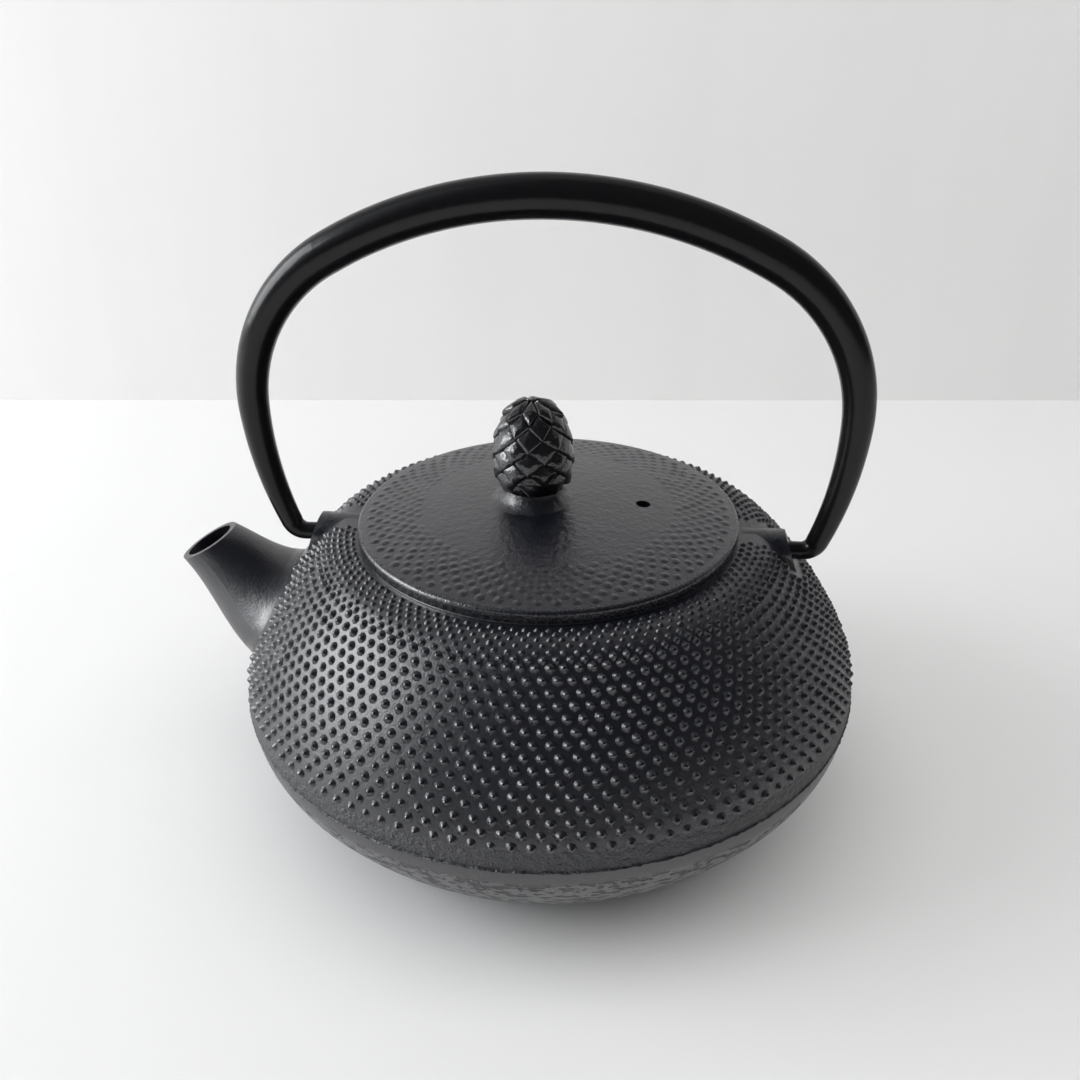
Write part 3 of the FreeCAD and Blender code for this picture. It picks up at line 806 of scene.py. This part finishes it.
class TEAPOT_OT_casting_seam(Operator):
    """Raise the ragged line where the two halves of the mould met"""
    bl_idname = "teapot.casting_seam"
    bl_label = "Casting seam"

    def execute(self, context):
        shell, sizes = context.scene.teapot_shell, context.scene.teapot_seam
        piece = open_mesh("casting_seam")
        middle, half = shell.belly_height, sizes.half_height
        foot = shell.belly_radius - SEAM_SINK * sizes.stand
        crest = shell.belly_radius + sizes.stand
        ring = (middle - half, foot)
        bpy.ops.mesh.primitive_circle_add(vertices=sizes.sides, radius=foot,
                                          location=(0, 0, ring[0]))
        for level, radius in ((middle - SEAM_CREST * half, crest),
                              (middle + SEAM_CREST * half, crest), (middle + half, foot)):
            ring = extrude_to(ring, level, radius)
        select_points(piece, lambda place: place.x > 0 and abs(place.y) < SEAM_GAP)
        bpy.ops.mesh.delete(type="VERT")
        close_mesh(piece)
        stray(piece, sizes.raggedness, SEAM_GRAIN, "seam_stray")
        wear(piece, bpy.data.materials["pot_lacquer"])
        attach(piece, "pot")
        return {"FINISHED"}


class TEAPOT_OT_lid_hailstones(Operator):
    """Cast the rows of low bumps in the lid's outer band"""
    bl_idname = "teapot.lid_hailstones"
    bl_label = "Lid hailstones"

    def execute(self, context):
        shell, sizes = context.scene.teapot_shell, context.scene.teapot_hailstones
        stone = model_stone("lid_hailstone", sizes.lid_foot, sizes.lid_height)
        rows = []
        for number in range(sizes.lid_rows):
            radius = sizes.lid_first - number * sizes.lid_step
            height, slope = lid_skin_at(shell, radius)
            fade = 1 - (1 - sizes.lid_fade) * number / (sizes.lid_rows - 1)
            rows.append(row_of_stones(stone, sizes.lid_per_ring, radius, height,
                                      math.pi / 2 - slope, (1.0, 1.0, fade), number % 2))
        removed(stone)
        piece = joined("lid_hailstones", rows)
        stray(piece, LID_STRAY_SHARE * sizes.unevenness, STONE_GRAIN, "lid_stray")
        wear(piece, bpy.data.materials["lid_lacquer"])
        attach(piece, "lid")
        return {"FINISHED"}


def cone_radius(cone, over):
    """Radius and slope of the pine cone's core at a height over its widest ring."""
    if over >= 0:
        rise = KNOB_HIGH.z - cone.middle_height
        radius = cone.radius * math.sqrt(1 - (over / rise) ** 2)
        return radius, math.atan2(over / rise ** 2, radius / cone.radius ** 2)
    step = cone.radius - cone.foot_radius
    drop = cone.middle_height - cone.foot_height
    curve = (step ** 2 + drop ** 2) / (2 * step)
    return cone.radius - curve + math.sqrt(curve ** 2 - over ** 2), math.asin(over / curve)


def model_core(cone, axis):
    """Tenon, peened end and smooth egg under the scales, as rings drawn up the axis."""
    core = open_mesh("cone_core")
    peen_low = KNOB_LOW.z
    peen_top = peen_low + cone.peen_height
    ring = (peen_low, PEEN_EDGE_RADIUS * cone.peen_radius)
    bpy.ops.mesh.primitive_circle_add(vertices=CORE_SIDES, radius=ring[1], fill_type="NGON",
                                      location=(*axis, peen_low))
    levels = [
        (peen_low + PEEN_EDGE_HEIGHT * cone.peen_height, cone.peen_radius),
        (peen_top, cone.peen_radius),
        (peen_top, cone.tenon_radius),
        (cone.foot_height, cone.tenon_radius),
        (cone.foot_height, cone.foot_radius),
    ]
    tip = KNOB_HIGH.z - cone.cover - cone.middle_height
    drop = cone.middle_height - cone.foot_height
    for part in CORE_BELOW:
        levels.append((cone.middle_height + part * drop, cone_radius(cone, part * drop)[0]))
    for part in CORE_ABOVE:
        levels.append((cone.middle_height + part * tip, cone_radius(cone, part * tip)[0]))
    for level, radius in levels:
        ring = extrude_to(ring, level, radius, axis)
    close_tip(ring, KNOB_HIGH.z - cone.cover, axis)
    close_mesh(core, smooth=False)
    bpy.ops.object.shade_smooth_by_angle(angle=CORE_SMOOTH)
    return core


def model_scale(cone):
    """One diamond scale on the origin: upwards along +X, outwards along +Z, with a swollen face."""
    scale = open_mesh("cone_scale")
    bpy.ops.mesh.primitive_plane_add(size=math.sqrt(2.0), location=(0, 0, -SCALE_ROOT))
    bpy.ops.transform.rotate(value=math.pi / 4, orient_axis="Z", center_override=(0, 0, 0))
    bpy.ops.transform.resize(value=(cone.half_height, cone.half_height, 1.0),
                             center_override=(0, 0, 0))
    straight = SCALE_STRAIGHT * cone.thickness
    for rise in (SCALE_ROOT + straight, cone.thickness - straight):
        bpy.ops.mesh.extrude_region_move(TRANSFORM_OT_translate={"value": (0, 0, rise)})
    bpy.ops.transform.resize(value=(SCALE_TAPER, SCALE_TAPER, 1.0),
                             center_override=(0, 0, cone.thickness))
    bpy.ops.mesh.inset(thickness=cone.rim, depth=cone.swell)
    close_mesh(scale, smooth=False)
    bevel = scale.modifiers.new("scale_bevel", "BEVEL")
    bevel.width = SCALE_BEVEL
    bevel.segments = 2
    bevel.limit_method = "ANGLE"
    bpy.ops.object.modifier_apply(modifier="scale_bevel")
    bpy.ops.object.shade_smooth_by_angle(angle=SCALE_SMOOTH)
    return scale


class TEAPOT_OT_pine_cone(Operator):
    """Model the lid's knob: a pine cone of overlapping scales on a peened tenon"""
    bl_idname = "teapot.pine_cone"
    bl_label = "Pine cone knob"

    def execute(self, context):
        cone = context.scene.teapot_pine_cone
        middle = (KNOB_LOW + KNOB_HIGH) / 2
        axis = (middle.x, 0.0)
        scale = model_scale(cone)
        height = KNOB_HIGH.z - cone.foot_height
        rows = [model_core(cone, axis)]
        for number in range(cone.rows):
            part = cone.first_row + (cone.last_row - cone.first_row) * number / (cone.rows - 1)
            over = cone.foot_height + part * height - cone.middle_height
            radius, slope = cone_radius(cone, over)
            start = math.pi / cone.per_row if number % 2 else 0.0
            half_width = math.tan(math.pi / cone.per_row) * (radius + 0.5 * cone.thickness)
            place = (axis[0] + radius * math.cos(start), radius * math.sin(start),
                     cone.middle_height + over)
            tilt = math.pi / 2 - slope - cone.lift
            width = SCALE_OVERLAP * half_width / cone.half_height
            row = copy_at(scale, place, (0.0, tilt, start), (1.0, width, 1.0))
            rows.append(ring_of(row, cone.per_row, (*axis, 0.0)))
        removed(scale)
        piece = joined("pine_cone_knob", rows)
        stray(piece, CONE_STRAY, CONE_GRAIN, "cone_stray")
        wear(piece, bpy.data.materials["knob_lacquer"])
        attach(piece, "lid")
        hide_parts("lid_knob")
        return {"FINISHED"}


def threads(lattice, crosses, shift):
    """Copy of a lattice without its crossing edges, its points shifted in and out by turns."""
    made = copy_at(lattice, (0.0, 0.0, 0.0))
    bpy.ops.object.mode_set(mode="EDIT")
    select_edges(made, crosses)
    bpy.ops.mesh.delete(type="EDGE_FACE")
    shift(made)
    bpy.ops.object.mode_set(mode="OBJECT")
    return made


def drawn_wire(name, pieces, radius):
    """Draw round wires along the edges of the pieces, as one mesh."""
    piece = joined(name, pieces)
    bpy.ops.object.convert(target="CURVE")
    wires = bpy.context.object
    wires.data.bevel_depth = radius
    wires.data.bevel_resolution = 0
    bpy.ops.object.convert(target="MESH")
    piece = bpy.context.object
    piece.name = name
    bpy.ops.object.shade_smooth()
    return piece


def finish_mesh(piece, node):
    """Let a woven piece stand for its plain solid."""
    wear(piece, bpy.data.materials["wire_steel"])
    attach(piece, "strainer")
    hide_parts(node)


class TEAPOT_OT_strainer_mesh(Operator):
    """Weave the strainer's side and floor from steel wire"""
    bl_idname = "teapot.strainer_mesh"
    bl_label = "Strainer mesh"

    def execute(self, context):
        wire = context.scene.teapot_wire
        self.weave_side(wire)
        self.weave_floor(wire)
        return {"FINISHED"}

    def weave_side(self, wire):
        """Upright wires and rings that pass in and out of each other."""
        radius = SIDE_HIGH.x - 2 * wire.radius
        number = 2 * round(math.pi * radius / wire.pitch)
        low, high = SIDE_LOW.z + wire.radius, SIDE_HIGH.z - wire.radius
        rings = round((high - low) / wire.pitch)
        step = (high - low) / rings
        lattice = open_mesh("side_lattice")
        bpy.ops.mesh.primitive_circle_add(vertices=number, radius=radius, location=(0, 0, low))
        for level in range(rings):
            bpy.ops.mesh.extrude_region_move(TRANSFORM_OT_translate={"value": (0, 0, step)})
        bpy.ops.object.mode_set(mode="OBJECT")

        def odd(place):
            around = round(math.atan2(place.y, place.x) / math.tau * number)
            return (around + round((place.z - low) / step)) % 2 == 1

        def swap(outward):
            def shift(piece):
                for parity, sign in ((True, 1), (False, -1)):
                    select_points(piece, lambda place: odd(place) == parity)
                    scale = 1 + outward * sign * wire.radius / radius
                    bpy.ops.transform.resize(value=(scale, scale, 1.0), center_override=(0, 0, 0))
            return shift

        uprights = threads(lattice, lambda a, b: abs(a.z - b.z) < step / 2, swap(1))
        hoops = threads(lattice, lambda a, b: abs(a.z - b.z) > step / 2, swap(-1))
        removed(lattice)
        piece = drawn_wire("strainer_side_weave", [uprights, hoops], wire.radius)
        finish_mesh(piece, "strainer_side_mesh")

    def weave_floor(self, wire):
        """Two sets of straight wires across a round floor."""
        radius = FLOOR_HIGH.x - wire.radius
        middle = (FLOOR_LOW.z + FLOOR_HIGH.z) / 2
        cells = 2 * math.ceil(radius / wire.pitch)
        lattice = open_mesh("floor_lattice")
        bpy.ops.mesh.primitive_grid_add(x_subdivisions=cells, y_subdivisions=cells,
                                        size=cells * wire.pitch, location=(0, 0, middle))
        select_points(lattice, lambda place: math.hypot(place.x, place.y) > radius)
        bpy.ops.mesh.delete(type="VERT")
        bpy.ops.object.mode_set(mode="OBJECT")

        def odd(place):
            return (round(place.x / wire.pitch) + round(place.y / wire.pitch)) % 2 == 1

        def swap(upward):
            def shift(piece):
                for parity, sign in ((True, 1), (False, -1)):
                    select_points(piece, lambda place: odd(place) == parity)
                    bpy.ops.transform.translate(value=(0, 0, upward * sign * wire.radius))
            return shift

        across = threads(lattice, lambda a, b: abs(a.y - b.y) > wire.pitch / 2, swap(1))
        along = threads(lattice, lambda a, b: abs(a.x - b.x) > wire.pitch / 2, swap(-1))
        removed(lattice)
        piece = drawn_wire("strainer_floor_weave", [across, along], wire.radius)
        finish_mesh(piece, "strainer_floor_mesh")


class TEAPOT_OT_stage(Operator):
    """Set the table top, the wall, the lights, the room and the camera"""
    bl_idname = "teapot.stage"
    bl_label = "Stage"

    def execute(self, context):
        colours = context.scene.teapot_colours
        bpy.ops.object.select_all(action="DESELECT")
        bpy.ops.mesh.primitive_plane_add(size=FLOOR_SIZE, location=(0, 0, 0))
        floor = context.object
        floor.name = "table_top"
        wear(floor, floor_paint(colours))
        bpy.ops.mesh.primitive_plane_add(size=WALL_SIZE, location=WALL_PLACE, rotation=WALL_TURN)
        wall = context.object
        wall.name = "wall"
        bpy.ops.object.transform_apply(location=True, rotation=True, scale=True)
        wear(wall, wall_paint(colours))
        self.add_light("window", location=(0.95, 0.1, 0.45), spread=(0.8, 0.6), power=10.0,
                       tint=(0.96, 0.98, 1.0))
        ceiling = self.add_light("ceiling", location=(-0.2, 0.1, 1.3), spread=(2.2, 2.2),
                                 power=27.0, tint=(1.0, 0.99, 0.98))
        # The ceiling's light falls on table and wall, and its shape stays out of the iron's shine
        ceiling.visible_glossy = False
        self.add_room(context)
        self.add_camera(context)
        context.scene.view_settings.view_transform = "Standard"
        return {"FINISHED"}

    def add_light(self, name, location, spread, power, tint):
        """Soft rectangular light that faces the pot."""
        bpy.ops.object.light_add(type="AREA", location=location)
        light = bpy.context.object
        light.name = name
        aim = Vector(LIT_POINT) - Vector(location)
        light.rotation_euler = aim.to_track_quat("-Z", "Y").to_euler()
        light.data.shape = "RECTANGLE"
        light.data.size, light.data.size_y = spread
        light.data.energy = power
        light.data.color = tint
        light.visible_camera = False
        return light

    def add_room(self, context):
        """Soft light of the room, bright beside and behind the pot and dim on the viewer's side."""
        world = bpy.data.worlds.new("room")
        world.use_nodes = True
        room = Nodes(world.node_tree)
        sky = room.nodes["Background"]
        sky.inputs["Color"].default_value = ROOM_TINT
        way = room.node("TexCoord").outputs["Generated"]

        def towards(direction):
            turned = room.node("VectorMath", {"operation": "DOT_PRODUCT"},
                               {0: way, 1: Vector(direction).normalized()})
            return Field(room, turned.outputs["Value"])

        side = room.step(towards(SIDE_WAY), 0.0, 0.85)
        back = room.step(towards(BACK_WAY), 0.3, 0.9)
        room.feed(sky.inputs["Strength"], ROOM_DIM + SIDE_GLOW * side + BACK_GLOW * back)
        context.scene.world = world

    def add_camera(self, context):
        """Camera close over the pot, with a wide lens."""
        bpy.ops.object.camera_add(location=CAMERA_PLACE, rotation=CAMERA_TURN)
        camera = context.object
        camera.name = "camera"
        camera.data.sensor_width = CAMERA_SENSOR
        camera.data.lens = CAMERA_LENS
        camera.data.clip_start = CAMERA_NEAR
        context.scene.camera = camera


class TEAPOT_PT_panel(Panel):
    """Sizes and pieces of the teapot"""
    bl_idname = "TEAPOT_PT_panel"
    bl_label = "Teapot"
    bl_space_type = "VIEW_3D"
    bl_region_type = "UI"
    bl_category = "Teapot"

    def draw(self, context):
        for operator in OPERATORS:
            self.layout.operator(operator.bl_idname)
        for name, kind in GROUPS.items():
            box = self.layout.box()
            box.label(text=kind.__name__)
            group = getattr(context.scene, name)
            for field in kind.__annotations__:
                box.prop(group, field)


GROUPS = {
    "teapot_shell": TeapotShell,
    "teapot_hailstones": TeapotHailstones,
    "teapot_seam": TeapotSeam,
    "teapot_pine_cone": TeapotPineCone,
    "teapot_wire": TeapotWire,
    "teapot_colours": TeapotColours,
}

OPERATORS = (
    TEAPOT_OT_finishes,
    TEAPOT_OT_hailstones,
    TEAPOT_OT_casting_seam,
    TEAPOT_OT_lid_hailstones,
    TEAPOT_OT_pine_cone,
    TEAPOT_OT_strainer_mesh,
    TEAPOT_OT_stage,
)


def register():
    for kind in (*GROUPS.values(), *OPERATORS, TEAPOT_PT_panel):
        bpy.utils.register_class(kind)
    for name, kind in GROUPS.items():
        setattr(bpy.types.Scene, name, PointerProperty(type=kind))


def unregister():
    for name in GROUPS:
        delattr(bpy.types.Scene, name)
    for kind in reversed((*GROUPS.values(), *OPERATORS, TEAPOT_PT_panel)):
        bpy.utils.unregister_class(kind)


def main():
    register()
    bpy.ops.teapot.finishes()
    bpy.ops.teapot.hailstones()
    bpy.ops.teapot.casting_seam()
    bpy.ops.teapot.lid_hailstones()
    bpy.ops.teapot.pine_cone()
    bpy.ops.teapot.strainer_mesh()
    bpy.ops.teapot.stage()


if __name__ == "__main__":
    main()
